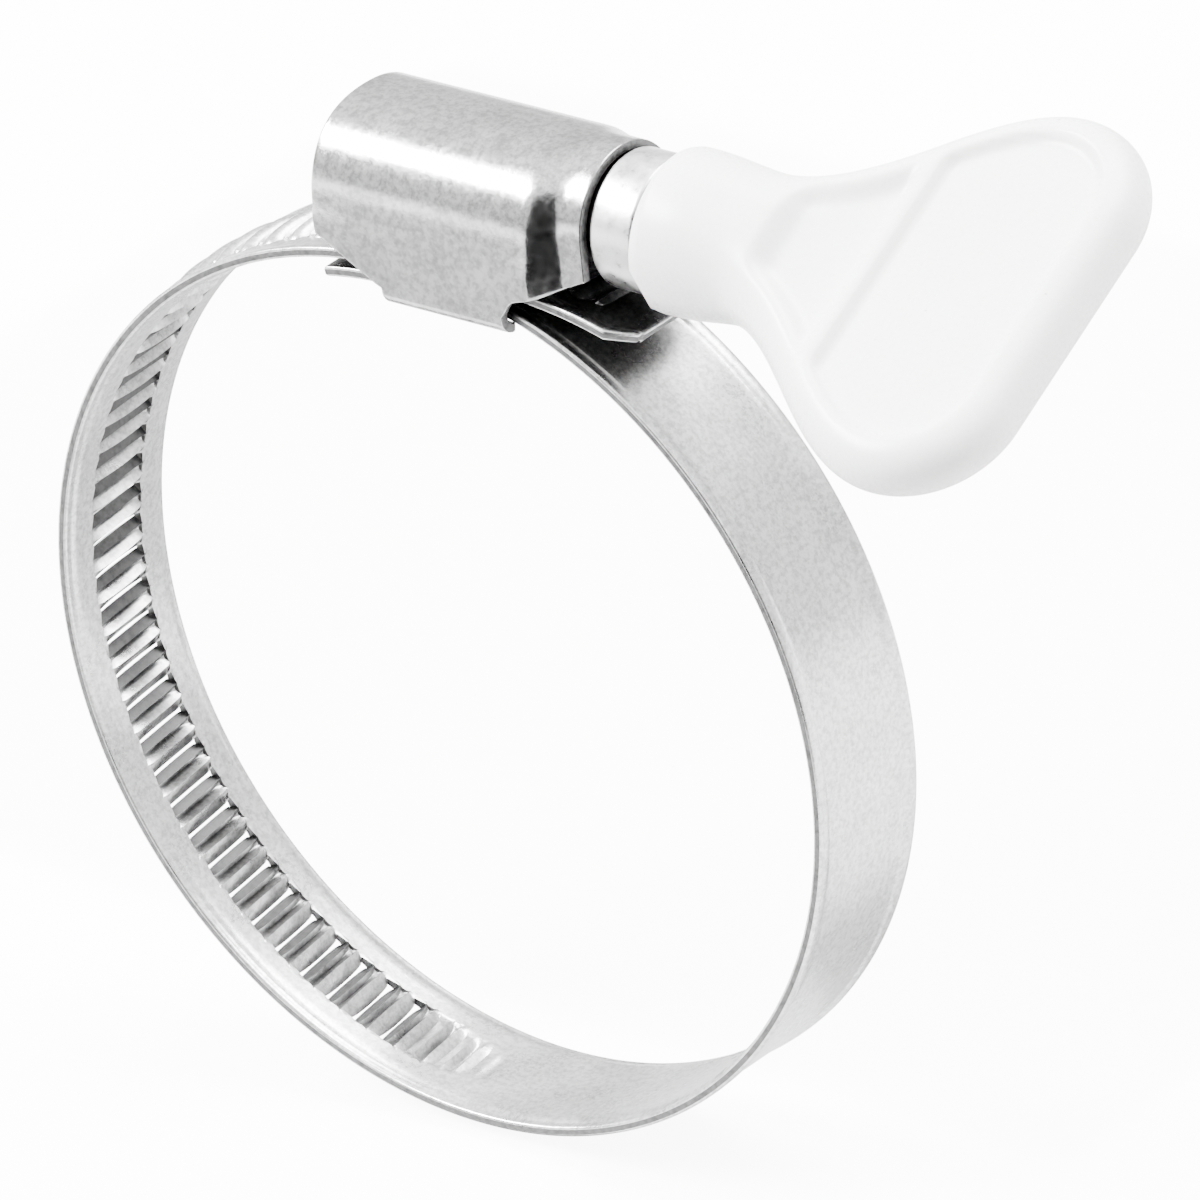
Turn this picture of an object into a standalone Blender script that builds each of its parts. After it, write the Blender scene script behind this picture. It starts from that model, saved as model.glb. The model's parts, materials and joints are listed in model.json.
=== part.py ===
"""Worm-drive hose clamp with a plastic wing handle, for a 32 to 50 mm hose.

Frame: the origin is the centre of the open ring, +Y runs along the hose, +Z points from
the ring to the housing, and +X runs along the screw towards its handle.
Lengths in the constants are millimetres; everything placed in Blender is metres.

The band is one strip of steel. It is built as short links hinged to each other, so that
it can curl up as the screw pulls its threaded end through the housing.
"""
import math

import bmesh
import bpy
from mathutils import Matrix, Vector

MM = 0.001
GAP = 0.3                      # between faces that touch on the real clamp

# Band
BAND_WIDTH = 9.0
BAND_THICK = 0.65
OPEN_RADIUS = 27.35            # ring radius at the middle of the strip, screw backed out
PITCH = 2.08                   # distance from slot to slot
LINK = 4 * PITCH
PLAIN_LINKS = 9.5              # links of plain strip, from the housing's right end
MOVING_LENGTH = 179.3          # strip from there to the tip of the threaded end
EXIT_ANGLE = math.radians(19.6)  # where the plain strip leaves the housing, from the top
STRAIGHT = 7.6                 # flat run of the threaded strip over the housing's floor
SLOT_HALF = 0.21 * PITCH
SLOT_REACH = 2.3               # half the slot's length across the strip
RIB_FOOT = 2.75
RIB_RISE = 0.35
FIRST_SLOT = 38.5              # in pitches from the housing's right end
TIP_PLAIN = 2.2                # strip without slots at the tip
TIP_CHAMFER = 1.3
SCREW_TURNS = 33.5             # from open to closed on a 32 mm hose
CLOSED_STRAIGHT = 4.0          # flat run through the housing when the ring is closed
RUN_FIRST = 12                 # links that keep the ring's own curve at both ends of
RUN_LAST = 18                  # the screw's travel, counted from the housing

# Fixed end of the strip, under the threaded end
FIXED_Z = 26.35
FIXED_LEFT = -4.9

# Screw
SCREW_Z = 31.75
CREST_RADIUS = 3.35
ROOT_RADIUS = 2.6
WORM_START = -3.4
WORM_END = 11.2
SHANK_RADIUS = 3.4
COLLAR_START = 14.5
COLLAR_RADIUS = 4.1
COLLAR_END = 17.6
HEX_FLATS = 6.0
HEX_END = 23.0

# Housing
SHEET = 0.6
COVER_LEFT = -4.5
COVER_HALF = 5.5
COVER_SPRING_Z = 30.7
SHOULDER_START = 11.2
SHOULDER_END = 13.2
COVER_RIGHT = 14.2
NECK_HALF = 4.4
FLOOR_Z = 25.15
FLANGE_END = 8.8
FLANGE_REACH = 3.0

# Handle
WING_TILT = math.radians(27.0)
HUB_START = 17.9
HUB_RADIUS = 4.85
WAIST_END = 23.5
LOBE_X = 39.1
LOBE_RADIUS = 6.5
LOBE_HALF = 13.1
PLATE_HALF = 2.2

STEEL = ((0.72, 0.72, 0.73, 1.0), 0.28, 1.0)
STRIP_STEEL = ((0.78, 0.78, 0.78, 1.0), 0.36, 1.0)
PLASTIC = ((0.92, 0.92, 0.92, 1.0), 0.42, 0.0)


def clear_scene():
    for obj in list(bpy.data.objects):
        bpy.data.objects.remove(obj)


def new_collection(name):
    group = bpy.data.collections.new(name)
    bpy.context.scene.collection.children.link(group)
    return group


def material(name, look):
    colour, roughness, metallic = look
    mat = bpy.data.materials.new(name)
    mat.use_nodes = True
    shader = mat.node_tree.nodes["Principled BSDF"]
    shader.inputs["Base Color"].default_value = colour
    shader.inputs["Roughness"].default_value = roughness
    shader.inputs["Metallic"].default_value = metallic
    return mat


def add_object(name, bm, group, look, origin=(0.0, 0.0, 0.0)):
    """Make an object of a bmesh drawn in millimetres, with its origin at `origin`."""
    start = Vector(origin)
    for vert in bm.verts:
        vert.co = (vert.co - start) * MM
    mesh = bpy.data.meshes.new(name)
    bm.to_mesh(mesh)
    bm.free()
    obj = bpy.data.objects.new(name, mesh)
    obj.location = start * MM
    obj.data.materials.append(material(name, look))
    group.objects.link(obj)
    return obj


def hang_on(child, parent):
    """Parent a piece without moving it. `location` stays in the clamp's own frame."""
    child.parent = parent
    child.matrix_parent_inverse = Matrix.Translation(-parent.location)


def smooth_edges(obj, angle):
    obj.data.shade_smooth()
    obj.data.set_sharp_from_angle(angle=math.radians(angle))


def ease(value, low, high):
    """0 below low, 1 above high, and a smooth step between them."""
    t = min(max((value - low) / (high - low), 0.0), 1.0)
    return t * t * (3.0 - 2.0 * t)


def between(value, points):
    """Height at `value` of the straight lines through (x, height) points."""
    for (x0, h0), (x1, h1) in zip(points, points[1:]):
        if value <= x1:
            return h0 + (h1 - h0) * max(value - x0, 0.0) / (x1 - x0)
    return points[-1][1]


def draw_grid(columns, rows, place, keep=lambda i, j: True):
    """A sheet of quads: place(i, j) gives each corner, keep(i, j) says which quads stay."""
    bm = bmesh.new()
    bmesh.ops.create_grid(bm, x_segments=columns, y_segments=rows, size=1.0)
    index = {}
    for vert in bm.verts:
        i = round((vert.co.x + 1.0) / 2.0 * columns)
        j = round((vert.co.y + 1.0) / 2.0 * rows)
        index[vert] = (i, j)
    holes = []
    for face in bm.faces:
        i = min(index[v][0] for v in face.verts)
        j = min(index[v][1] for v in face.verts)
        if not keep(i, j):
            holes.append(face)
    for vert, (i, j) in index.items():
        vert.co = Vector(place(i, j))
    bmesh.ops.delete(bm, geom=holes, context="FACES")
    return bm


def loft(rings, sides):
    """A closed solid through rings, each a function from an angle to a point."""
    step = 2.0 * math.pi / sides
    bm = draw_grid(len(rings) - 1, sides, lambda i, j: rings[i](step * (j % sides)))
    bmesh.ops.remove_doubles(bm, verts=bm.verts, dist=1e-5)
    ends = [edge for edge in bm.edges if edge.is_boundary]
    bmesh.ops.holes_fill(bm, edges=ends, sides=sides)
    bmesh.ops.recalc_face_normals(bm, faces=bm.faces)
    return bm


def thicken(obj, thickness, offset):
    sheet = obj.modifiers.new("Sheet", "SOLIDIFY")
    sheet.thickness = thickness * MM
    sheet.offset = offset
    sheet.use_even_offset = True


# ---------------------------------------------------------------- the strip's route

RING_LENGTH = (2.0 * math.pi - EXIT_ANGLE) * OPEN_RADIUS


def open_route(s):
    """Middle of the moving strip at length s from the housing: (x, z, heading).

    It runs clockwise round the ring, straight through the housing, and then keeps the
    ring's own curve in the free end."""
    if s <= RING_LENGTH:
        turn = EXIT_ANGLE + s / OPEN_RADIUS
        return OPEN_RADIUS * math.sin(turn), OPEN_RADIUS * math.cos(turn), turn
    s -= RING_LENGTH
    if s <= STRAIGHT:
        return s, OPEN_RADIUS, 0.0
    turn = (s - STRAIGHT) / OPEN_RADIUS
    x = STRAIGHT + OPEN_RADIUS * math.sin(turn)
    return x, OPEN_RADIUS * math.cos(turn), turn


def on_strip(s, y, lift=0.0):
    """A point of the strip: along it, across it, and out from its middle surface."""
    x, z, turn = open_route(s)
    return x + lift * math.sin(turn), y, z + lift * math.cos(turn)


def slot_distance(s):
    """Distance from s to the nearest slot's centre, or a long way where there is none."""
    number = round(s / PITCH - 0.5) + 0.5
    last = (MOVING_LENGTH - TIP_PLAIN) / PITCH - 0.5
    if number < FIRST_SLOT or number > last:
        return PITCH
    return abs(s - number * PITCH)


def rib_height(s):
    """Rise of the ribs between slots, as a half wave from slot edge to slot edge."""
    first = (FIRST_SLOT - 0.5) * PITCH
    if s < first or s > MOVING_LENGTH - TIP_PLAIN:
        return 0.0
    gap = abs(s / PITCH - 0.5 - round(s / PITCH - 0.5)) * PITCH
    reach = (gap - SLOT_HALF) / (PITCH / 2.0 - SLOT_HALF)
    return RIB_RISE * math.sin(max(reach, 0.0) * math.pi / 2.0)


def strip_columns(start, end):
    """Lengths at which the sheet of a link gets a row of corners."""
    cuts = {start, end}
    if start >= (FIRST_SLOT - 1.0) * PITCH:
        steps = (0.0, 0.14, 0.29, 0.71, 0.86)
    else:
        steps = (0.0, 0.5)
    for cell in range(int(start / PITCH), int(end / PITCH) + 1):
        cuts.update((cell + step) * PITCH for step in steps)
    inside = sorted(c for c in cuts if start + 0.1 < c < end - 0.1)
    return [start] + inside + [end]


def strip_link(name, start, end, origin, group):
    """One stretch of the moving strip, with its slots and the ribs between them."""
    columns = strip_columns(start, end)
    half = BAND_WIDTH / 2.0
    rows = [-half, -RIB_FOOT, -SLOT_REACH, SLOT_REACH, RIB_FOOT, half]
    slope = PITCH / (2.0 * math.pi * CREST_RADIUS)
    tip = end > MOVING_LENGTH - 0.01

    def place(i, j):
        s, y = columns[i], rows[j]
        cell = abs(s / PITCH - round(s / PITCH))
        lean = slope * y * min(cell / 0.29, 1.0) if abs(y) < half and cell > 0.08 else 0.0
        lift = rib_height(s) if abs(y) <= SLOT_REACH else 0.0
        if tip and abs(y) == half and i == len(columns) - 1:
            y *= 1.0 - TIP_CHAMFER / half
        return on_strip(s + lean, y, lift)

    def keep(i, j):
        middle = (columns[i] + columns[i + 1]) / 2.0
        return j != 2 or slot_distance(middle) > 0.1 * PITCH

    bm = draw_grid(len(columns) - 1, len(rows) - 1, place, keep)
    bmesh.ops.recalc_face_normals(bm, faces=bm.faces)
    obj = add_object(name, bm, group, STRIP_STEEL, origin)
    thicken(obj, BAND_THICK, 0.0)
    smooth_edges(obj, 40)
    return obj


def threaded_pole():
    """Point that the stiff run of threaded links turns about, as (x, z).

    The run goes from the ring's left side to the free end on the right. It has the same
    curve there, only shifted along the screw, so its motion is one turn."""
    turn = (SCREW_TURNS * PITCH - CLOSED_STRAIGHT) / OPEN_RADIUS
    return CLOSED_STRAIGHT / 2.0, -CLOSED_STRAIGHT / 2.0 / math.tan(turn / 2.0)


def make_plain_links(group):
    """Links of plain strip, each hinged to the one before, from the housing on."""
    before = None
    for k in range(math.ceil(PLAIN_LINKS)):
        x, z, _ = open_route(k * LINK)
        end = min(k + 1, PLAIN_LINKS) * LINK - GAP / 2.0
        link = strip_link(f"band_plain_{k + 1:02d}", k * LINK + GAP / 2.0, end, (x, 0.0, z), group)
        if before:
            hang_on(link, before)
        before = link


def make_threaded_links(group):
    """Links of threaded strip: a stiff run about the pole, and hinged links at its ends."""
    x, z = threaded_pole()
    pole = bpy.data.objects.new("threaded_run", None)
    pole.location = Vector((x, 0.0, z)) * MM
    group.objects.link(pole)
    links = {}
    for k in range(int(PLAIN_LINKS), math.ceil(MOVING_LENGTH / LINK)):
        start = max(k, PLAIN_LINKS) * LINK + GAP / 2.0
        end = min((k + 1) * LINK - GAP / 2.0, MOVING_LENGTH)
        if k < RUN_FIRST:
            x, z, _ = open_route((k + 1) * LINK)
        elif k > RUN_LAST:
            x, z, _ = open_route(k * LINK)
        else:
            x, z = pole.location.x / MM, pole.location.z / MM
        name = f"band_thread_{k - int(PLAIN_LINKS) + 1:02d}"
        links[k] = strip_link(name, start, end, (x, 0.0, z), group)
    for k, link in links.items():
        if k < RUN_FIRST:
            hang_on(link, links[k + 1])
        elif k > RUN_LAST:
            hang_on(link, links[k - 1])
        else:
            hang_on(link, pole)


def make_fixed_end(group):
    """Fixed end of the strip: the floor that the threaded end slides over."""
    inner = FIXED_Z
    end_x = OPEN_RADIUS * math.sin(EXIT_ANGLE)
    end_z = OPEN_RADIUS * math.cos(EXIT_ANGLE)
    bend = (FIXED_Z - end_z) / (1.0 - math.cos(EXIT_ANGLE))
    bend_start = end_x - bend * math.sin(EXIT_ANGLE)
    left_turn = math.asin(FIXED_LEFT / inner)
    route = [(inner * math.sin(left_turn * t / 4.0), inner * math.cos(left_turn * t / 4.0))
             for t in (4, 3, 2, 1, 0)]
    trim = GAP / 2.0 / bend
    for t in range(5):
        turn = (EXIT_ANGLE - trim) * t / 4.0
        x = bend_start + bend * math.sin(turn)
        route.append((x, FIXED_Z - bend * (1.0 - math.cos(turn))))
    half = BAND_WIDTH / 2.0
    bm = draw_grid(len(route) - 1, 1, lambda i, j: (route[i][0], half * (2 * j - 1), route[i][1]))
    bmesh.ops.recalc_face_normals(bm, faces=bm.faces)
    obj = add_object("band_fixed_end", bm, group, STRIP_STEEL)
    thicken(obj, BAND_THICK, 0.0)
    smooth_edges(obj, 40)
    return obj


def make_housing(group):
    """Pressed cover: an arch over the screw, necked at the handle's end, with its lower
    edges folded under the fixed end of the strip."""
    columns = [COVER_LEFT, -2.2, 0.0, 3.2, 6.3, FLANGE_END, 10.0, SHOULDER_START,
               11.8, 12.2, 12.6, SHOULDER_END, COVER_RIGHT]
    low_edge = [(COVER_LEFT, 28.8), (0.0, 25.6), (FLANGE_END, 25.6), (10.0, 27.5),
                (11.5, 28.1), (COVER_RIGHT, 29.4)]
    arch = 12
    half_rows = 4               # flange, fold and side wall on each side of the arch
    rows = arch + 2 * half_rows

    def place(i, j):
        x = columns[i]
        neck = ease(x, SHOULDER_START, SHOULDER_END)
        half = COVER_HALF + (NECK_HALF - COVER_HALF) * neck
        spring = COVER_SPRING_Z + (SCREW_Z - COVER_SPRING_Z) * neck
        if half_rows <= j <= rows - half_rows:
            turn = math.pi * (j - half_rows) / arch
            return x, -half * math.cos(turn), spring + half * math.sin(turn)
        side = -1.0 if j < half_rows else 1.0
        step = j if j < half_rows else rows - j
        if step == 3:
            return x, side * half, (spring + 2.0 * between(x, low_edge)) / 3.0
        if step == 2:
            return x, side * half, between(x, low_edge)
        if step == 1:
            return x, side * (half - 0.45), FLOOR_Z
        return x, side * FLANGE_REACH, FLOOR_Z

    def keep(i, j):
        step = min(j, rows - 1 - j)
        under = columns[i] >= -0.01 and columns[i + 1] <= FLANGE_END + 0.01
        if step == 0:
            return under and columns[i + 1] < 6.4
        return step > 1 or under

    bm = draw_grid(len(columns) - 1, rows, place, keep)
    loose = [vert for vert in bm.verts if not vert.link_faces]
    bmesh.ops.delete(bm, geom=loose, context="VERTS")
    bmesh.ops.recalc_face_normals(bm, faces=bm.faces)
    top = max(bm.faces, key=lambda face: face.calc_center_median().z)
    if top.normal.z < 0.0:
        bmesh.ops.reverse_faces(bm, faces=bm.faces)
    obj = add_object("housing_cover", bm, group, STEEL)
    thicken(obj, SHEET, -1.0)
    smooth_edges(obj, 35)
    return obj


def round_ring(x, radius):
    return lambda turn: (x, radius * math.cos(turn), SCREW_Z + radius * math.sin(turn))


def hex_ring(x, flats):
    def point(turn):
        off = (turn + math.pi / 6.0) % (math.pi / 3.0) - math.pi / 6.0
        radius = flats / 2.0 / math.cos(off)
        return x, radius * math.cos(turn), SCREW_Z + radius * math.sin(turn)
    return point


def worm_ring(x):
    """Section of the right-hand worm. Its crest stands over a slot at the bottom."""
    slot_x = PITCH * (math.ceil(RING_LENGTH / PITCH - 0.5) + 0.5) - RING_LENGTH
    fade = ease(x, WORM_START, WORM_START + 1.0) * (1.0 - ease(x, WORM_END - 1.0, WORM_END))

    def point(turn):
        phase = (x - slot_x) / PITCH - (turn + math.pi / 2.0) / (2.0 * math.pi)
        off = abs(phase - round(phase))
        crest = 1.0 - ease(off, 0.1, 0.3)
        radius = ROOT_RADIUS + (CREST_RADIUS - ROOT_RADIUS) * crest * fade
        return x, radius * math.cos(turn), SCREW_Z + radius * math.sin(turn)
    return point


def make_screw(group):
    """Worm, shank, collar and hexagon head, all on the X axis at SCREW_Z."""
    rings = [round_ring(WORM_START - 0.5, ROOT_RADIUS - 0.5)]
    steps = round((WORM_END - WORM_START) / PITCH * 6)
    rings += [worm_ring(WORM_START + (WORM_END - WORM_START) * k / steps)
              for k in range(steps + 1)]
    for x, radius in ((11.4, SHANK_RADIUS), (COLLAR_START, SHANK_RADIUS),
                      (COLLAR_START, COLLAR_RADIUS), (COLLAR_END, COLLAR_RADIUS)):
        rings.append(round_ring(x, radius))
    rings += [hex_ring(COLLAR_END, HEX_FLATS), hex_ring(HEX_END, HEX_FLATS)]
    bm = loft(rings, 24)
    obj = add_object("worm_screw", bm, group, STEEL, (0.0, 0.0, SCREW_Z))
    smooth_edges(obj, 35)
    return obj


def wing_half(x):
    """Half the handle's span at x: hub, concave flare and round lobe."""
    if x <= WAIST_END:
        return HUB_RADIUS - 0.25 * ease(x, HUB_START + 1.0, WAIST_END)
    if x >= LOBE_X:
        reach = min((x - LOBE_X) / LOBE_RADIUS, 1.0)
        return LOBE_HALF - LOBE_RADIUS + LOBE_RADIUS * math.sqrt(1.0 - reach * reach)
    t = (x - WAIST_END) / (LOBE_X - WAIST_END)
    waist = HUB_RADIUS - 0.25
    return waist + (LOBE_HALF - waist) * math.sin(t * math.pi / 2.0) ** 1.75


def wing_thick(x):
    """Half the handle's thickness at x: round hub thinning into a flat plate."""
    hub = wing_half(x) if x <= WAIST_END else HUB_RADIUS - 0.25
    plate = ease(x, HUB_START + 2.0, 32.0)
    return hub + (PLATE_HALF - hub) * plate


def wing_ring(x, half, thick):
    """Section of the handle: an ellipse at the hub, a rounded bar in the wings."""
    squareness = 2.0 + 3.0 * ease(x, WAIST_END, 34.0)

    def point(turn):
        c, s = math.cos(turn), math.sin(turn)
        along = half * math.copysign(abs(c) ** (2.0 / squareness), c)
        across = thick * math.copysign(abs(s) ** (2.0 / squareness), s)
        y = along * math.cos(WING_TILT) - across * math.sin(WING_TILT)
        z = along * math.sin(WING_TILT) + across * math.cos(WING_TILT)
        return x, y, SCREW_Z + z
    return point


def make_handle(group, cutters):
    """Moulded wing handle, with a hexagon socket over the screw's head."""
    xs = [HUB_START, HUB_START + 0.5, 20.0, 22.0, WAIST_END, 25.0, 27.0, 29.0, 31.0, 33.0,
          35.0, 37.0, LOBE_X]
    xs += [LOBE_X + LOBE_RADIUS * math.sin(math.radians(a)) for a in (20, 36, 50, 62, 72, 80)]
    rings = [wing_ring(x, wing_half(x), wing_thick(x)) for x in xs]
    rings[0] = wing_ring(HUB_START, HUB_RADIUS - 0.4, HUB_RADIUS - 0.4)
    end = LOBE_X + LOBE_RADIUS
    rings.append(wing_ring(end, wing_half(end), PLATE_HALF * 0.6))
    bm = loft(rings, 32)
    obj = add_object("wing_handle", bm, group, PLASTIC, (0.0, 0.0, SCREW_Z))
    socket = loft([hex_ring(HUB_START - 1.0, HEX_FLATS + 2 * GAP),
                   hex_ring(HEX_END + GAP, HEX_FLATS + 2 * GAP)], 12)
    cutter = add_object("socket_cutter", socket, cutters, STEEL, (0.0, 0.0, SCREW_Z))
    cutter.hide_render = True
    cutter.display_type = "WIRE"
    cut = obj.modifiers.new("Socket", "BOOLEAN")
    cut.object = cutter
    cut.operation = "DIFFERENCE"
    cut.solver = "EXACT"
    smooth_edges(obj, 35)
    return obj


def main():
    clear_scene()
    clamp = new_collection("hose_clamp")
    cutters = new_collection("cutters")
    make_fixed_end(clamp)
    make_housing(clamp)
    make_plain_links(clamp)
    make_threaded_links(clamp)
    screw = make_screw(clamp)
    handle = make_handle(clamp, cutters)
    hang_on(handle, screw)


main()
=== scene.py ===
import json
import math

import bmesh
import bpy
import numpy as np
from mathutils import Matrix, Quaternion, Vector


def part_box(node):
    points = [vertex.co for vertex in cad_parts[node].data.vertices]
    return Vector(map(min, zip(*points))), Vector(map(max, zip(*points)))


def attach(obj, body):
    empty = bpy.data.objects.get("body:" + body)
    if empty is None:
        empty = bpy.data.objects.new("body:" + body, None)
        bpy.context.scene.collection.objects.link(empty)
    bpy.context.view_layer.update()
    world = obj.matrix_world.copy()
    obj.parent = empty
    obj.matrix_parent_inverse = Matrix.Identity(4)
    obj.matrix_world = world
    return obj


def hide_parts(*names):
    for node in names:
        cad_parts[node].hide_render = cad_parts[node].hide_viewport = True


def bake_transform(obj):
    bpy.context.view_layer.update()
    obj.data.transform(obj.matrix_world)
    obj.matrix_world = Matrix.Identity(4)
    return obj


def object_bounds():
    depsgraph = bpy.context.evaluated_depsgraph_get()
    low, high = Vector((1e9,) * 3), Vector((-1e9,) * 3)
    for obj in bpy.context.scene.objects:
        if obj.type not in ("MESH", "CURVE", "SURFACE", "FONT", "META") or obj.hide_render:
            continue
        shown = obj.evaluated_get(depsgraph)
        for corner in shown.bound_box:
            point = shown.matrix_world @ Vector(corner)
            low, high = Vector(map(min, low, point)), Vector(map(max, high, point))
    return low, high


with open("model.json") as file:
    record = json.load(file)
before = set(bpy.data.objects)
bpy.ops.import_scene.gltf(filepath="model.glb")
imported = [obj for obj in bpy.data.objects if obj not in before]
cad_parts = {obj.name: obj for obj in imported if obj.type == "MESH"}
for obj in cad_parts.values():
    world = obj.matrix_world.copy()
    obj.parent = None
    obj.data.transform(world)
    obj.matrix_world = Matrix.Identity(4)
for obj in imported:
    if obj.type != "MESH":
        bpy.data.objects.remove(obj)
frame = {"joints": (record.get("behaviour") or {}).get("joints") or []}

cad_low, cad_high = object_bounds()

MM = 0.001
WELD = 1e-7                     # corners closer than this, in metres, become one
CLOSE = 0.001                   # lengths closer than this, in mm, count as the same

# ------------------------------------------------------------------ driving dimensions, in mm
BAND_WIDTH = 9.0
BAND_THICK = 0.65
OPEN_RADIUS = 27.35             # ring radius at the middle of the strip, backed out
PITCH = 2.08                    # from slot to slot
LINK = 4 * PITCH                # one link of the frame's band chain
PLAIN_LINKS = 9.5               # the loop is open in the middle of a link
MOVING_LENGTH = 179.3           # from the housing's exit to the tip
EXIT_ANGLE = math.radians(19.6)
STRAIGHT = 7.6                  # flat run of the threaded strip through the housing
SLOT_REACH = 2.3                # half length of a slot
FIRST_SLOT = 38.5               # in pitches, from the housing
TIP_PLAIN = 2.2                 # strip without slots at the tip
TIP_CORNER = 1.3                # the tip's corners are cut by this much
RIB_RISE = 0.55
SCOOP_REACH = 2.5               # half length of a rib's hollow, past the slots' ends
LIP_WIDTH = 0.95                # rolled edge of the strip
LIP_RISE = 0.16
HALF = BAND_WIDTH / 2
FIXED_Z = 26.35                 # strip's fixed end, under the threaded end
FIXED_LEFT = -4.9               # x of its cut end

SCREW_Z = round(frame["joints"][0]["pos_m"][2] / MM, 3)
COVER_LEFT = round(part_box("housing_cover")[0].x / MM, 2)
COVER_RIGHT = round(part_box("housing_cover")[1].x / MM, 2)
COVER_HALF = 5.5
COVER_SPRING = 30.7             # where the housing's arch starts
NECK_HALF = 4.4
SHOULDER = (10.5, 13.0)         # the housing narrows to its neck over this stretch of x
SHEET = 0.6
COVER_ROUND = 0.13              # rounding of the sheet's edges
FLOOR_Z = 25.15                 # underside of the folded flanges
FLANGE_REACH = 3.0              # from the middle of the housing to a flange's inner edge
FLANGE_STOP = 6.4               # the flat flanges start at x = 0 and end before this x
FLANGE_END = 8.8                # the folded edge that carries them ends here

WORM = (-3.4, 11.2)             # x of its two ends, as for the collar
CREST_RADIUS = 3.35
ROOT_RADIUS = 2.6
SHANK_RADIUS = 3.4
COLLAR = (14.5, 17.6)
COLLAR_RADIUS = 4.1
HEX_FLATS = 6.0
HEX_END = 23.0

WING_TILT = math.radians(27.0)
HUB_START = 17.9
HUB_RADIUS = 4.85
HUB_FLAT = 3.95                 # half thickness over the hub's two flats
WAIST_RADIUS = 4.6
WAIST_END = 23.5
LOBE_X = 39.1
LOBE_RADIUS = 6.5
LOBE_HALF = 13.1
PLATE_HALF = 2.2
WING_END = LOBE_X + LOBE_RADIUS
RIDGE_X = 32.2                  # ridge between the hub's web and the recessed face


# ------------------------------------------------------------------ small helpers

def ease(value, low, high):
    """0 below low, 1 above high, and a smooth step between them."""
    t = np.clip((value - low) / (high - low), 0.0, 1.0)
    return t * t * (3.0 - 2.0 * t)


def sheet_mesh(name, grid, keep=None, uv=None, closed=False):
    """A mesh of quads over grid[i][j], leaving out the quads that keep(i, j) refuses.

    uv(i, j) gives a corner's UV. A closed sheet joins its last column to its first, and its
    two end rings are filled."""
    count_i, count_j = len(grid), len(grid[0])
    bm = bmesh.new()
    layer = bm.loops.layers.uv.new("UVMap")
    verts = {}

    def vert(i, j):
        if (i, j) not in verts:
            verts[i, j] = bm.verts.new(Vector(grid[i][j]) * MM)
        return verts[i, j]

    for i in range(count_i - 1):
        for j in range(count_j if closed else count_j - 1):
            if keep and not keep(i, j):
                continue
            corners = ((i, j), (i + 1, j), (i + 1, (j + 1) % count_j), (i, (j + 1) % count_j))
            face = bm.faces.new([vert(a, b) for a, b in corners])
            for loop, (a, b) in zip(face.loops, corners):
                loop[layer].uv = uv(a, b) if uv else (a, b)
    if closed:
        for ring in (0, count_i - 1):
            bm.faces.new([vert(ring, j) for j in range(count_j)])
    bmesh.ops.remove_doubles(bm, verts=bm.verts, dist=WELD)
    bmesh.ops.recalc_face_normals(bm, faces=bm.faces)
    mesh = bpy.data.meshes.new(name)
    bm.to_mesh(mesh)
    bm.free()
    obj = bpy.data.objects.new(name, mesh)
    bpy.context.scene.collection.objects.link(obj)
    return obj


def add_thickness(obj, thickness, offset):
    """Give a sheet its thickness, on one side (offset -1 or 1) or on both (offset 0)."""
    sheet = obj.modifiers.new("Sheet", "SOLIDIFY")
    sheet.thickness = thickness * MM
    sheet.offset = offset
    sheet.use_even_offset = True
    return sheet


def add_bevel(obj, width, segments):
    bevel = obj.modifiers.new("Edges", "BEVEL")
    bevel.width = width * MM
    bevel.segments = segments
    bevel.angle_limit = math.radians(50)
    return bevel


def freeze(obj, angle):
    """Turn the modifiers into mesh, shaded smooth but for the edges sharper than the angle."""
    graph = bpy.context.evaluated_depsgraph_get()
    mesh = bpy.data.meshes.new_from_object(obj.evaluated_get(graph))
    obj.modifiers.clear()
    old = obj.data
    obj.data = mesh
    bpy.data.meshes.remove(old)
    mesh.shade_smooth()
    mesh.set_sharp_from_angle(angle=math.radians(angle))


# ------------------------------------------------------------------ materials

def new_material(name):
    mat = bpy.data.materials.new(name)
    mat.use_nodes = True
    tree = mat.node_tree
    return mat, tree, tree.nodes["Principled BSDF"]


def noise(tree, coords, scale, detail=4.0, roughness=0.55):
    node = tree.nodes.new("ShaderNodeTexNoise")
    node.inputs["Scale"].default_value = scale
    node.inputs["Detail"].default_value = detail
    node.inputs["Roughness"].default_value = roughness
    tree.links.new(coords, node.inputs["Vector"])
    return node.outputs["Fac"]


def placed(tree, scale=(1.0, 1.0, 1.0), source="Object"):
    """Texture coordinates, scaled differently along each axis where asked."""
    coords = tree.nodes.new("ShaderNodeTexCoord")
    mapping = tree.nodes.new("ShaderNodeMapping")
    mapping.inputs["Scale"].default_value = scale
    tree.links.new(coords.outputs[source], mapping.inputs["Vector"])
    return mapping.outputs["Vector"]


def spread(tree, value, low, high, in_low=0.3, in_high=0.7):
    """Map a texture's value onto a range."""
    node = tree.nodes.new("ShaderNodeMapRange")
    node.inputs["From Min"].default_value = in_low
    node.inputs["From Max"].default_value = in_high
    node.inputs["To Min"].default_value = low
    node.inputs["To Max"].default_value = high
    tree.links.new(value, node.inputs["Value"])
    return node.outputs["Result"]


def ramp(tree, value, stops):
    """Map a value to greys, by stops of (value, grey)."""
    node = tree.nodes.new("ShaderNodeValToRGB")
    elements = node.color_ramp.elements
    elements[0].position, elements[-1].position = stops[0][0], stops[-1][0]
    for place, _ in stops[1:-1]:
        elements.new(place)
    for element, (_, grey) in zip(elements, stops):
        element.color = (grey, grey, grey, 1.0)
    tree.links.new(value, node.inputs["Fac"])
    return node.outputs["Color"]


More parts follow.
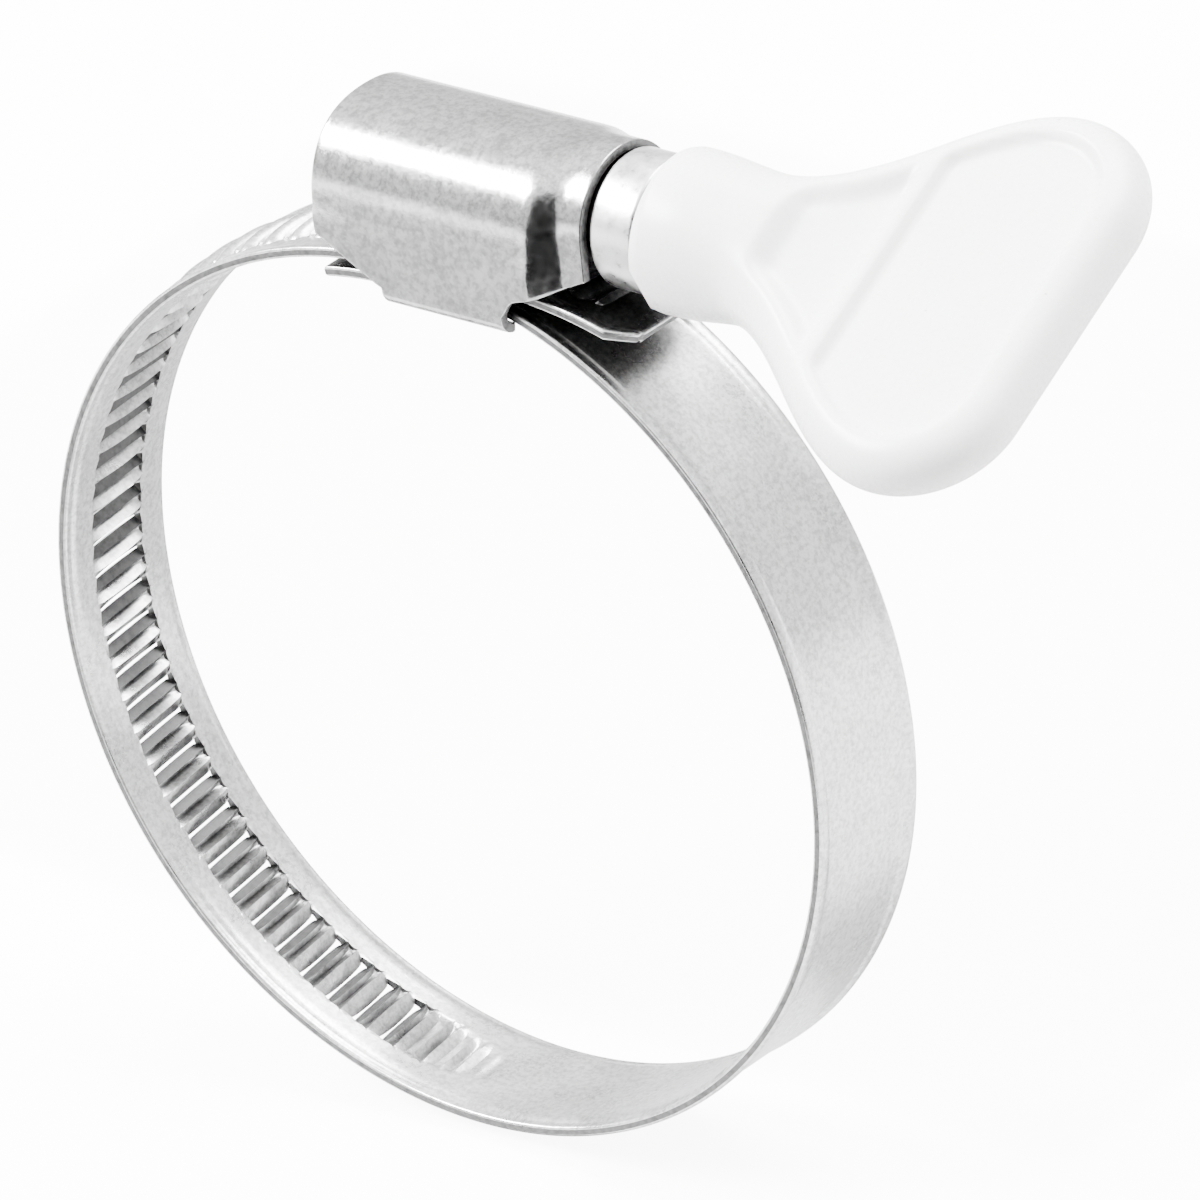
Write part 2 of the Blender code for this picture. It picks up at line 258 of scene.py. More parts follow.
def tinted(tree, colour, tint):
    """One colour multiplied by another."""
    mix = tree.nodes.new("ShaderNodeMix")
    mix.data_type = "RGBA"
    mix.blend_type = "MULTIPLY"
    mix.inputs["Factor"].default_value = 1.0
    tree.links.new(colour, mix.inputs[6])
    tree.links.new(tint, mix.inputs[7])
    return mix.outputs[2]


def bump(tree, height, strength, distance, normal=None):
    node = tree.nodes.new("ShaderNodeBump")
    node.inputs["Strength"].default_value = strength
    node.inputs["Distance"].default_value = distance * MM
    tree.links.new(height, node.inputs["Height"])
    if normal:
        tree.links.new(normal, node.inputs["Normal"])
    return node.outputs["Normal"]


def shaded_in_gaps(tree, colour, shader, distance, darkest, open_at=0.75):
    """Painted shade in narrow gaps: darken the colour where the piece is hemmed in, as its shade
    would.
    """
    gap = tree.nodes.new("ShaderNodeAmbientOcclusion")
    gap.inputs["Distance"].default_value = distance * MM
    gap.samples = 8
    stops = ((0.12, darkest), (open_at - 0.2, 0.45), (open_at, 1.0))
    shade = ramp(tree, gap.outputs["AO"], stops)
    tree.links.new(tinted(tree, colour, shade), shader.inputs["Base Color"])


def strip_steel():
    """Rolled stainless strip: fine lines along its length, a fine grain and soft smudges."""
    mat, tree, shader = new_material("strip_steel")
    smudge = noise(tree, placed(tree), 260.0, 3.0)
    lines = noise(tree, placed(tree, (0.25, 4.0, 1.0), "UV"), 2.2, 5.0, 0.6)
    grain = noise(tree, placed(tree), 3000.0, 3.0, 0.7)
    cloud = ramp(tree, smudge, ((0.32, 0.6), (0.5, 0.65), (0.68, 0.7)))
    colour = tinted(tree, cloud, ramp(tree, grain, ((0.36, 0.62), (0.6, 1.0))))
    # painted shade: the colour darkens nearly to black in the slots and in the gap under the tail
    shaded_in_gaps(tree, colour, shader, 4.2, 0.015, 0.82)
    shader.inputs["Metallic"].default_value = 1.0
    tree.links.new(spread(tree, smudge, 0.25, 0.33), shader.inputs["Roughness"])
    fine = bump(tree, grain, 0.35, 0.03)
    tree.links.new(bump(tree, lines, 0.06, 0.03, fine), shader.inputs["Normal"])
    return mat


def housing_steel():
    """Pressed and tumbled stainless: pebbled by the tool, with a few light scuffs."""
    mat, tree, shader = new_material("housing_steel")
    place = placed(tree)
    pebble = noise(tree, place, 2200.0, 3.0, 0.7)
    cloud = noise(tree, place, 300.0, 2.0)
    scuff = noise(tree, placed(tree, (0.35, 1.6, 1.6)), 1900.0, 2.0)
    smudge = ramp(tree, cloud, ((0.3, 0.36), (0.52, 0.43), (0.7, 0.49)))
    colour = tinted(tree, smudge, ramp(tree, pebble, ((0.36, 0.62), (0.6, 1.0))))
    # painted shade: the colour darkens in narrow gaps, such as the neck beside the collar
    shaded_in_gaps(tree, colour, shader, 2.5, 0.05)
    shader.inputs["Metallic"].default_value = 1.0
    tree.links.new(spread(tree, pebble, 0.15, 0.22), shader.inputs["Roughness"])
    first = bump(tree, pebble, 0.3, 0.03)
    second = bump(tree, cloud, 0.12, 0.08, first)
    tree.links.new(bump(tree, scuff, 0.12, 0.02, second), shader.inputs["Normal"])
    return mat


def sheared_steel(name, dark, light):
    """Sheared faces of the sheet: torn and dull, in dark grey. The darker copy on the slot walls
    is painted shade, standing in for the shade inside the slots.
    """
    mat, tree, shader = new_material(name)
    tear = noise(tree, placed(tree), 2600.0, 3.0)
    tree.links.new(ramp(tree, tear, ((0.3, dark), (0.7, light))), shader.inputs["Base Color"])
    shader.inputs["Metallic"].default_value = 1.0
    tree.links.new(spread(tree, tear, 0.45, 0.65), shader.inputs["Roughness"])
    tree.links.new(bump(tree, tear, 0.3, 0.03), shader.inputs["Normal"])
    return mat


def screw_steel():
    """Bright zinc on turned steel: faint rings round the axis and small dull specks."""
    mat, tree, shader = new_material("screw_steel")
    rings = noise(tree, placed(tree, (9.0, 0.6, 0.6)), 900.0, 3.0)
    speck = noise(tree, placed(tree), 1300.0, 4.0, 0.7)
    colour = ramp(tree, speck, ((0.32, 0.4), (0.45, 0.66), (0.7, 0.74)))
    # painted shade: the colour darkens in narrow gaps around the worm and collar
    shaded_in_gaps(tree, colour, shader, 3.0, 0.05)
    shader.inputs["Metallic"].default_value = 1.0
    tree.links.new(spread(tree, speck, 0.24, 0.42), shader.inputs["Roughness"])
    first = bump(tree, rings, 0.25, 0.03)
    tree.links.new(bump(tree, speck, 0.35, 0.04, first), shader.inputs["Normal"])
    return mat


def handle_plastic():
    """White moulded plastic, semi-gloss, with a fine mould texture and a few grey specks."""
    mat, tree, shader = new_material("handle_plastic")
    place = placed(tree)
    specks = noise(tree, place, 1300.0, 2.0, 0.4)
    tone = noise(tree, place, 90.0, 3.0)
    mix = tree.nodes.new("ShaderNodeMix")
    mix.data_type = "RGBA"
    tree.links.new(spread(tree, specks, 0.0, 1.0, 0.79, 0.8), mix.inputs["Factor"])
    tree.links.new(ramp(tree, tone, ((0.3, 0.83), (0.7, 0.87))), mix.inputs[6])
    mix.inputs[7].default_value = (0.45, 0.45, 0.46, 1.0)
    tree.links.new(mix.outputs[2], shader.inputs["Base Color"])
    shader.inputs["Specular IOR Level"].default_value = 0.45
    shader.inputs["Subsurface Weight"].default_value = 0.08
    shader.inputs["Subsurface Scale"].default_value = 0.002
    fine = noise(tree, place, 3600.0, 2.0)
    tree.links.new(spread(tree, fine, 0.24, 0.32), shader.inputs["Roughness"])
    ripple = bump(tree, tone, 0.05, 0.2)
    tree.links.new(bump(tree, fine, 0.06, 0.02, ripple), shader.inputs["Normal"])
    return mat


# ------------------------------------------------------------------ the strip

RING_LENGTH = (2.0 * math.pi - EXIT_ANGLE) * OPEN_RADIUS
LEAN = PITCH / (2.0 * math.pi * CREST_RADIUS)      # the slots slant with the worm's thread
SLANT_RISE = (2.0, 12.0)        # stretch from the housing over which the slant sets in
SLANT_FALL = (0.4, 2.4)         # stretch before the tip over which it fades again
LAST_SLOT = (MOVING_LENGTH - TIP_PLAIN) / PITCH - 0.5
DIMPLES = (0.4, 0.7, 0.9)       # the first slots are only pressed, deeper one by one

# Within one pitch, counted from a rib's middle: the hole, then the tongue pressed outward
HOLE_START = 0.24
HOLE_END = 0.55
TONGUE_END = 0.76
TONGUE_RISE = 0.5
TONGUE_SIDE = (SLOT_REACH - 0.12, SLOT_REACH + 0.02)    # where it falls back to the strip
RIB_LEAD = 0.2                  # a rib is this much deeper than the shallower slot beside it
LIP_START = (-10.0, -4.0)       # the fixed end's edges turn up over this stretch

# Grid lines across the strip, closer together at the slots' ends and the rolled edges
HALF_ROWS = (0.0, 0.6, 1.1, 1.5, 1.8, 2.0, 2.18, SLOT_REACH, 2.36, 2.41, 2.45, 2.48, SCOOP_REACH,
             2.8, 3.2, 3.55, 3.7, 3.85, 4.0, 4.2, HALF)
STRIP_ROWS = sorted({sign * y for sign in (-1.0, 1.0) for y in HALF_ROWS})
# Grid lines along the strip, as shares of a pitch
PLAIN_STEPS = (0.0, 0.25, 0.5, 0.75)
THREAD_STEPS = (0.0, 0.05, 0.1, 0.15, 0.2, HOLE_START, HOLE_END, 0.59, 0.63, 0.67, 0.71,
                TONGUE_END, 0.8, 0.84, 0.88, 0.92, 0.96)
TIP_STEPS = 4
FIXED_STEPS = 8
EXIT_STEPS = 12
LEAST_STEP = 0.3                # least distance between two grid lines of the fixed end

STRIP_ROUND = 0.17              # rounding of the strip's outline
SKIN, SLOT_WALL, OUTLINE = 0, 1, 2      # the strip's material slots


def open_route(s):
    """Middle of the moving strip at length s from the housing: (x, z, heading)."""
    if s <= RING_LENGTH:
        turn = EXIT_ANGLE + s / OPEN_RADIUS
        return OPEN_RADIUS * math.sin(turn), OPEN_RADIUS * math.cos(turn), turn
    s -= RING_LENGTH
    if s <= STRAIGHT:
        return s, OPEN_RADIUS, 0.0
    turn = (s - STRAIGHT) / OPEN_RADIUS
    x = STRAIGHT + OPEN_RADIUS * math.sin(turn)
    return x, OPEN_RADIUS * math.cos(turn), turn


def route_point(s):
    """The strip's centre line at length s, in metres, as a point of the frame."""
    x, z, _ = open_route(s)
    return x * MM, 0.0, z * MM


def part_of_pitch(s):
    """Place of length s within its pitch, from 0 to 1. The ribs' middles lie at 0."""
    return s / PITCH - math.floor(s / PITCH)


def slot_depth(s):
    """Depth of the slot in this pitch, from 0 to 1. Below 1 it isn't cut through."""
    number = math.floor(s / PITCH) + 0.5
    if number < FIRST_SLOT or number > LAST_SLOT:
        return 0.0
    order = round(number - FIRST_SLOT)
    return DIMPLES[order] if order < len(DIMPLES) else 1.0


def scoop(y, depth):
    """The arc that the thread makes across the strip, shorter where it is shallow."""
    reach = SCOOP_REACH * (0.5 + 0.5 * depth)
    return math.sqrt(max(1.0 - (y / reach) ** 2, 0.0))


def rib_rise(s, y):
    """Rise of the hollow ribs beside the slots, bowed like the worm they mesh with."""
    rib = round(s / PITCH)
    if not FIRST_SLOT - 0.5 <= rib <= LAST_SLOT + 0.5:
        return 0.0
    middle = (HOLE_START + TONGUE_END - 1.0) / 2.0
    off = min(abs(s / PITCH - rib - middle) / (HOLE_START - middle), 1.0)
    beside = min(slot_depth((rib - 0.5) * PITCH), slot_depth((rib + 0.5) * PITCH))
    depth = min(beside + RIB_LEAD, 1.0)
    return RIB_RISE * depth * scoop(y, depth) * math.cos(off * math.pi / 2.0)


def tongue_rise(s, y):
    """Rise of the slanted tongue on the far side of each slot."""
    part = part_of_pitch(s)
    if not HOLE_START < part < TONGUE_END:
        return 0.0
    if part < HOLE_END:
        share = (part - HOLE_START) / (HOLE_END - HOLE_START)
    else:
        share = (TONGUE_END - part) / (TONGUE_END - HOLE_END)
    side = 1.0 - float(ease(abs(y), *TONGUE_SIDE))
    depth = slot_depth(s)
    return TONGUE_RISE * share * depth * scoop(y, depth) * side


def lip_rise(y):
    """The strip's edges are rolled up a little, away from the hose."""
    return LIP_RISE * float(ease(abs(y), HALF - LIP_WIDTH, HALF - LIP_WIDTH * 0.45))


def strip_lengths():
    """Lengths of the moving strip's grid lines, closer together where it is threaded."""
    lengths = []
    for cell in range(math.ceil(MOVING_LENGTH / PITCH)):
        steps = THREAD_STEPS if cell > FIRST_SLOT - 2.0 else PLAIN_STEPS
        lengths += [(cell + step) * PITCH for step in steps]
    lengths = [s for s in lengths if s < MOVING_LENGTH - TIP_CORNER]
    corner = [MOVING_LENGTH - TIP_CORNER * (1.0 - t / TIP_STEPS) for t in range(TIP_STEPS + 1)]
    return lengths + corner


def fixed_stations():
    """Stations of the fixed end, from its cut end under the worm to the housing's exit, and
    the x where it begins to bend down to the ring."""
    end_x = OPEN_RADIUS * math.sin(EXIT_ANGLE)
    end_z = OPEN_RADIUS * math.cos(EXIT_ANGLE)
    bend = (FIXED_Z - end_z) / (1.0 - math.cos(EXIT_ANGLE))
    bend_start = end_x - bend * math.sin(EXIT_ANGLE)
    places = []
    for t in range(FIXED_STEPS + 1):
        turn = math.asin(FIXED_LEFT / FIXED_Z) * (1.0 - t / FIXED_STEPS)
        places.append((FIXED_Z * math.sin(turn), FIXED_Z * math.cos(turn), turn))
    for t in range(EXIT_STEPS):
        turn = EXIT_ANGLE * t / EXIT_STEPS
        x = bend_start + bend * math.sin(turn)
        if x > LEAST_STEP:
            places.append((x, FIXED_Z - bend * (1.0 - math.cos(turn)), turn))
    stations = []
    length = 0.0
    after = (end_x, end_z, EXIT_ANGLE)
    for place in reversed(places):
        length -= math.dist(place[:2], after[:2])
        stations.insert(0, place + (length,))
        after = place
    return stations, bend_start


def strip_point(station, y):
    """A point of the strip's middle surface, at a station (x, z, heading, length)."""
    x, z, heading, s = station
    across = y
    lift = lip_rise(y) * float(ease(s, *LIP_START))
    if s > 0.0:
        tip = MOVING_LENGTH - s
        if tip < TIP_CORNER:
            across = y * (1.0 - (TIP_CORNER - tip) / HALF)
        shift = LEAN * y * float(ease(s, *SLANT_RISE) * ease(tip, *SLANT_FALL))
        x, z, heading = open_route(s + shift)
        lift += max(rib_rise(s, y), tongue_rise(s, y))
    return x + lift * math.sin(heading), across, z + lift * math.cos(heading)


def mean_length(face, layer):
    """A face's place along the strip, from its UV."""
    return sum(loop[layer].uv.x for loop in face.loops) / len(face.loops)


def mark_outline(mesh):
    """Give the strip's cut outline its own material, and mark its edges for rounding.

    The other rims, round the slots, keep the material of their walls, painted darker as the shade
    inside the slots."""
    bm = bmesh.new()
    bm.from_mesh(mesh)
    layer = bm.loops.layers.uv.active
    weight = bm.edges.layers.float.new("bevel_weight_edge")
    slots = (FIRST_SLOT * PITCH, MOVING_LENGTH - TIP_CORNER)
    slots_half = (SLOT_REACH + 0.2) * MM
    for face in bm.faces:
        if face.material_index == SKIN:
            continue
        middle = abs(face.calc_center_median().y) < slots_half
        if middle and slots[0] < mean_length(face, layer) < slots[1]:
            continue
        face.material_index = OUTLINE
        for edge in face.edges:
            if any(other.material_index == SKIN for other in edge.link_faces):
                edge[weight] = 1.0
    bm.to_mesh(mesh)
    bm.free()


def make_whole_strip(materials, lead_in):
    """The band as one mesh, with rounded edges. Its UV holds (length, place across) in mm."""
    stations = list(lead_in) + [open_route(s) + (s,) for s in strip_lengths()]
    grid = [[strip_point(station, y) for y in STRIP_ROWS] for station in stations]

    def keep(i, j):
        middle = (stations[i][3] + stations[i + 1][3]) / 2.0
        inside = abs(STRIP_ROWS[j] + STRIP_ROWS[j + 1]) / 2.0 < SLOT_REACH
        hole = HOLE_START < part_of_pitch(middle) < HOLE_END and slot_depth(middle) == 1.0
        return not (inside and hole)

    obj = sheet_mesh("whole_strip", grid, keep, lambda i, j: (stations[i][3], STRIP_ROWS[j]))
    for material in materials:
        obj.data.materials.append(material)
    add_thickness(obj, BAND_THICK, 0.0).material_offset_rim = SLOT_WALL
    freeze(obj, 30)
    mark_outline(obj.data)
    edges = add_bevel(obj, STRIP_ROUND, 3)
    edges.limit_method = "WEIGHT"
    edges.material = SKIN
    edges.use_clamp_overlap = False
    freeze(obj, 35)
    return obj


def cut_strip(whole, name, start, end):
    """Copy the stretch of the strip between two lengths into a closed piece of its own."""
    piece = bpy.data.objects.new(name, whole.data.copy())
    piece.data.name = name
    bpy.context.scene.collection.objects.link(piece)
    bm = bmesh.new()
    bm.from_mesh(piece.data)
    layer = bm.loops.layers.uv.active
    rest = [face for face in bm.faces if not start < mean_length(face, layer) < end]
    bmesh.ops.delete(bm, geom=rest, context="FACES")
    open_edges = [edge for edge in bm.edges if edge.is_boundary]
    for cap in bmesh.ops.holes_fill(bm, edges=open_edges, sides=0)["faces"]:
        cap.smooth = False
        cap.material_index = OUTLINE
        for edge in cap.edges:
            edge.smooth = False
    bm.to_mesh(piece.data)
    bm.free()
    return piece


def middle_of(link):
    """Length at the middle of a link of the frame, counted from 0 at the housing."""
    return (link + 0.5) * LINK


def band_bends():
    """The bends of the band that a piece of the strip spans: the bodies before and after, and
    the number of the link after the bend.

    The links 12 to 18 are one body, which feeds through the housing."""
    plain = ["root"] + [f"band_plain_{k:02d}" for k in range(1, math.ceil(PLAIN_LINKS) + 1)]
    entry = [f"band_thread_{k:02d}" for k in (1, 2, 3)] + ["band_thread_run"]
    tail = ["band_thread_run"] + [f"band_thread_{k:02d}" for k in (11, 12, 13)]
    bends = []
    for bodies, first in ((plain, 0), (entry, 10), (tail, 19)):
        bends += [(*pair, first + k) for k, pair in enumerate(zip(bodies, bodies[1:]))]
    return bends


def make_strip(materials):
    """The whole band, cut into pieces that meet in the middle of each link of the frame. The
    pieces stay as one curve where the strip lies at rest, in place of the links they cover; only
    the run through the housing goes with its body."""
    stations, bend_start = fixed_stations()
    whole = make_whole_strip(materials, stations)
    cut_link, last_link = math.floor(PLAIN_LINKS), band_bends()[-1][2]
    for before, after, link in band_bends():
        start, end = middle_of(link - 1), middle_of(link)
        bend_from, bend_to = route_point(max(start, 0.0)), route_point(min(end, MOVING_LENGTH - 1))
        nodes = [after.replace("_run", "_04")]
        if before == "root":
            start, nodes = -math.inf, ["band_fixed_end", after]
            bend_from = (bend_start * MM, 0.0, FIXED_Z * MM)
        elif before.startswith("band_thread_0"):
            nodes.append(before)
        if link == last_link:
            end = math.inf
        name = f"strip_{link:02d}" + ("_cut" if link == cut_link else "")
        piece = cut_strip(whole, name, start, end)
        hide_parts(*nodes)
        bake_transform(piece)
    run = cut_strip(whole, "strip_run", middle_of(12), middle_of(18))
    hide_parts(*[f"band_thread_{n:02d}" for n in range(4, 11)])
    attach(run, "band_thread_run")
    bpy.data.objects.remove(whole)


# ------------------------------------------------------------------ the housing

HEM = 1.15                      # outer radius of the folded lower edge
LOW_EDGE = ((COVER_LEFT, 28.8), (0.0, FLOOR_Z + HEM), (FLANGE_END, FLOOR_Z + HEM), (9.4, 27.5),
            (11.5, 28.1), (COVER_RIGHT, 29.4))
CORNER_EASE = 0.3               # the lower edge's corners are eased this far to each side
ROOF_FLAT = 0.25                # the roof's top is pressed flatter than a round arch
WALL_BULGE = 0.12
ARCH_SQUARE = 0.03              # the arch is a little fuller at its haunches
ARCH_STEPS, WALL_STEPS, FOLD_STEPS, FLANGE_STEPS = 36, 8, 7, 4


def low_edge(x):
    """Height of the side wall's lower edge at x, with its corners eased round."""
    near = np.linspace(x - CORNER_EASE, x + CORNER_EASE, 7)
    xs, zs = zip(*LOW_EDGE)
    return float(np.mean(np.interp(near, xs, zs)))


def cover_section(x):
    """The housing's outside across the screw at x, from one flange over the arch to the other."""
    neck = float(ease(x, *SHOULDER))
    half = COVER_HALF + (NECK_HALF - COVER_HALF) * neck
    spring = COVER_SPRING + (SCREW_Z - COVER_SPRING) * neck
    flat = ROOF_FLAT * (1.0 - neck)
    side = []
    for t in range(FLANGE_STEPS):
        side.append((FLANGE_REACH + (half - HEM - FLANGE_REACH) * t / FLANGE_STEPS, FLOOR_Z))
    for t in range(FOLD_STEPS):
        turn = math.pi / 2.0 * t / FOLD_STEPS
        side.append((half - HEM + HEM * math.sin(turn), FLOOR_Z + HEM * (1 - math.cos(turn))))
    low = low_edge(x)
    for t in range(WALL_STEPS):
        bulge = WALL_BULGE * math.sin(math.pi * t / WALL_STEPS) * (1.0 - neck)
        side.append((half + bulge, low + (spring - low) * t / WALL_STEPS))
    arch = []
    for t in range(ARCH_STEPS + 1):
        turn = math.pi * t / ARCH_STEPS
        squarer = 1.0 + ARCH_SQUARE * math.sin(2 * turn) ** 2 * (1.0 - neck)
        z = spring + half * math.sin(turn) * squarer - flat * math.sin(turn) ** 6
        arch.append((-half * math.cos(turn) * squarer, z))
    outline = [(-y, z) for y, z in side] + arch + side[::-1]
    return [(x, y, z) for y, z in outline]


def make_housing(materials):
    """Pressed cover: an arch over the screw with a necked end, and its lower edges folded
    under the strip in a small open hem."""
    columns = list(np.linspace(COVER_LEFT, 0.0, 13)) + list(np.linspace(0.0, FLANGE_END, 19))[1:]
    columns += list(np.linspace(FLANGE_END, COVER_RIGHT, 22))[1:]
    grid = [cover_section(x) for x in columns]
    last_row = len(grid[0]) - 2

    def keep(i, j):
        step = min(j, last_row - j)
        folded = columns[i] >= -CLOSE and columns[i + 1] <= FLANGE_END + CLOSE
        if step < FLANGE_STEPS:
            return folded and columns[i + 1] <= FLANGE_STOP
        return folded or step >= FLANGE_STEPS + FOLD_STEPS

    obj = sheet_mesh("housing", grid, keep, lambda i, j: (columns[i], j))
    top = max(obj.data.polygons, key=lambda p: p.center.z)
    if top.normal.z < 0.0:
        obj.data.flip_normals()
    for material in materials:
        obj.data.materials.append(material)
    add_thickness(obj, SHEET, -1.0).material_offset_rim = 1
    add_bevel(obj, COVER_ROUND, 3)
    freeze(obj, 40)
    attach(obj, "root")
    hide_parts("housing_cover")


# ------------------------------------------------------------------ the screw

SCREW_SIDES = 96
TURN_STEPS = 16                 # rings along the worm in one pitch
WORM_RUNOUT = 1.0               # the thread fades over this length at both ends
WORM_CHAMFER = 0.5
SHANK_START = 11.4
COLLAR_ROUND = 0.3
HEAD_FILLET = 0.3
# x of a slot's middle in the straight run: the worm's thread sits in it
SLOT_X = PITCH * (math.ceil(RING_LENGTH / PITCH - 0.5) + 0.5) - RING_LENGTH


def worm_ring(x):
    """One ring (x, turn, radius) of the worm, whose thread is a helix of the strip's pitch."""
    rise = float(ease(x, WORM[0], WORM[0] + WORM_RUNOUT))
    fall = float(ease(x, WORM[1] - WORM_RUNOUT, WORM[1]))
    height = (CREST_RADIUS - ROOT_RADIUS) * rise * (1.0 - fall)
    ring = []
    for t in range(SCREW_SIDES):
        turn = 2.0 * math.pi * t / SCREW_SIDES
        phase = (x - SLOT_X) / PITCH - (turn + math.pi / 2.0) / (2.0 * math.pi)
        crest = 1.0 - float(ease(abs(phase - round(phase)), 0.1, 0.3))
        ring.append((x, turn, ROOT_RADIUS + height * crest))
    return ring


def round_ring(x, radius):
    return [(x, 2.0 * math.pi * t / SCREW_SIDES, radius) for t in range(SCREW_SIDES)]


def hexagon_ring(x, flats):
    ring = []
    for t in range(SCREW_SIDES):
        turn = 2.0 * math.pi * t / SCREW_SIDES
        off = (turn + math.pi / 6.0) % (math.pi / 3.0) - math.pi / 6.0
        ring.append((x, turn, flats / 2.0 / math.cos(off)))
    return ring


def make_screw(material):
    """Worm, shank, collar with softened edges and hexagon head."""
    steps = round((WORM[1] - WORM[0]) / PITCH * TURN_STEPS)
    rings = [round_ring(WORM[0] - WORM_CHAMFER, ROOT_RADIUS - WORM_CHAMFER)]
    rings += [worm_ring(WORM[0] + (WORM[1] - WORM[0]) * k / steps) for k in range(steps + 1)]
    inner = COLLAR_RADIUS - COLLAR_ROUND
    rings += [round_ring(SHANK_START, SHANK_RADIUS), round_ring(COLLAR[0], SHANK_RADIUS),
              round_ring(COLLAR[0], inner)]
    for edge, quarter in ((COLLAR[0] + COLLAR_ROUND, 0), (COLLAR[1] - COLLAR_ROUND, 1)):
        for t in range(5):
            turn = math.pi / 2.0 * (t / 4.0 + quarter)
            x = edge - COLLAR_ROUND * math.cos(turn)
            rings.append(round_ring(x, inner + COLLAR_ROUND * math.sin(turn)))
    rings += [round_ring(COLLAR[1], HEX_FLATS / 2.0 + HEAD_FILLET),
              hexagon_ring(COLLAR[1] + 0.02, HEX_FLATS), hexagon_ring(HEX_END, HEX_FLATS)]
    grid = [[(x, r * math.cos(turn), SCREW_Z + r * math.sin(turn)) for x, turn, r in ring]
            for ring in rings]
    obj = sheet_mesh("screw", grid, closed=True)
    freeze(obj, 35)
    obj.data.materials.append(material)
    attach(obj, "screw")
    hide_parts("worm_screw")


# ------------------------------------------------------------------ the handle

FLARE_POWER = 1.75              # shape of the wings' flare: higher is more hollow
PLATE_START = HUB_START + 2.0   # from here the hub thins down to the plate
PLATE_FULL = 32.0
RIM_RADIUS = 2.3                # rounding of the plate's rim
RIM_FULL = 33.0
FLATS_START = (HUB_START + 0.5, 24.5)   # the hub's two flats set in over this stretch
FLATS_END = (26.0, 29.0)        # and run out over this one
FLAT_SOFTNESS = 0.12            # softness of the edge between a flat and the round hub
FACE_SINK = 0.65                # depth of the recess in the wings
WEB_SINK = 0.95                 # depth of the hollow web between hub and ridge
MOUTH_SHARE = 0.93              # the hub's mouth is narrower than the hub
MOUTH_LENGTH = 0.6


def hub_radius(x):
    """The hub tapers from its mouth to the waist."""
    return HUB_RADIUS - (HUB_RADIUS - WAIST_RADIUS) * float(ease(x, HUB_START + 1.0, WAIST_END))


def mouth_share(x):
    """Size at x as a share of the full one: the hub's mouth is rounded in."""
    full = float(ease(x, HUB_START - 0.01, HUB_START + MOUTH_LENGTH))
    return MOUTH_SHARE + (1.0 - MOUTH_SHARE) * full


def wing_half(x):
    """Half the handle's span at x: hub, concave flare and round lobe."""
    if x <= WAIST_END:
        return hub_radius(x)
    if x >= LOBE_X:
        reach = min((x - LOBE_X) / LOBE_RADIUS, 1.0)
        return LOBE_HALF - LOBE_RADIUS + LOBE_RADIUS * math.sqrt(1.0 - reach * reach)
    t = (x - WAIST_END) / (LOBE_X - WAIST_END)
    return WAIST_RADIUS + (LOBE_HALF - WAIST_RADIUS) * math.sin(t * math.pi / 2.0) ** FLARE_POWER


def wing_inset(x, d):
    """Distance from the handle's outline at (x, d), measured inward."""
    d = abs(d)
    centre = LOBE_HALF - LOBE_RADIUS
    if x > LOBE_X:
        if d > centre:
            return LOBE_RADIUS - math.hypot(x - LOBE_X, d - centre)
        return WING_END - x
    slope = (wing_half(x + 0.05) - wing_half(x - 0.05)) / 0.1
    edge = (wing_half(x) - d) / math.hypot(1.0, slope)
    return min(edge, WING_END - x)


def wing_relief(x, inset):
    """How far the face is sunk at a point: the recess in the wings and the hollow web."""
    face = float(ease(inset, 1.9, 2.6) * ease(x, RIDGE_X + 0.3, RIDGE_X + 1.0))
    web = float(ease(inset, 1.7, 3.1) * ease(x, 25.4, 26.9)
                * (1.0 - ease(x, RIDGE_X - 1.2, RIDGE_X - 0.3)))
    return FACE_SINK * face + WEB_SINK * web


def wing_face(x, d):
    """Half thickness of the handle at (x, d): a round hub with two flats, thinning to a plate."""
    hub = hub_radius(x)
    thick = hub + (PLATE_HALF - hub) * float(ease(x, PLATE_START, PLATE_FULL))
    rim = wing_half(x) if x <= WAIST_END else WAIST_RADIUS
    rim += (RIM_RADIUS - rim) * float(ease(x, WAIST_END, RIM_FULL))
    inset = max(wing_inset(x, d), 0.0)
    near = 1.0 - min(inset / rim, 1.0)
    height = thick * math.sqrt(max(1.0 - near * near, 0.0))
    # before and behind its own stretch, the flat lies above the round hub and cuts nothing off
    flat = HUB_FLAT + (thick + 0.6 - HUB_FLAT) * float(ease(x, *FLATS_END))
    flat += (HUB_RADIUS + 0.5 - HUB_FLAT) * (1.0 - float(ease(x, *FLATS_START)))
    # the lower of the round and the flat, with a soft edge between them
    height = 0.5 * (height + flat - math.hypot(height - flat, FLAT_SOFTNESS))
    height = max(height, 0.0) * mouth_share(x)
    return max(height - wing_relief(x, inset), 0.0)


def wing_ring(x):
    """The handle's outline across the screw at x: over one face and back over the other."""
    half = wing_half(x) * mouth_share(x)
    if x >= WING_END - CLOSE:
        half = LOBE_HALF - LOBE_RADIUS
    rows = [half * math.sin(math.pi / 2.0 * t / 36) for t in range(-36, 37)]
    faces = [(d, wing_face(x, d)) for d in rows]
    faces += [(d, -wing_face(x, d)) for d in rows[-2:0:-1]]
    cos, sin = math.cos(WING_TILT), math.sin(WING_TILT)
    return [(x, d * cos - n * sin, SCREW_Z + d * sin + n * cos) for d, n in faces]


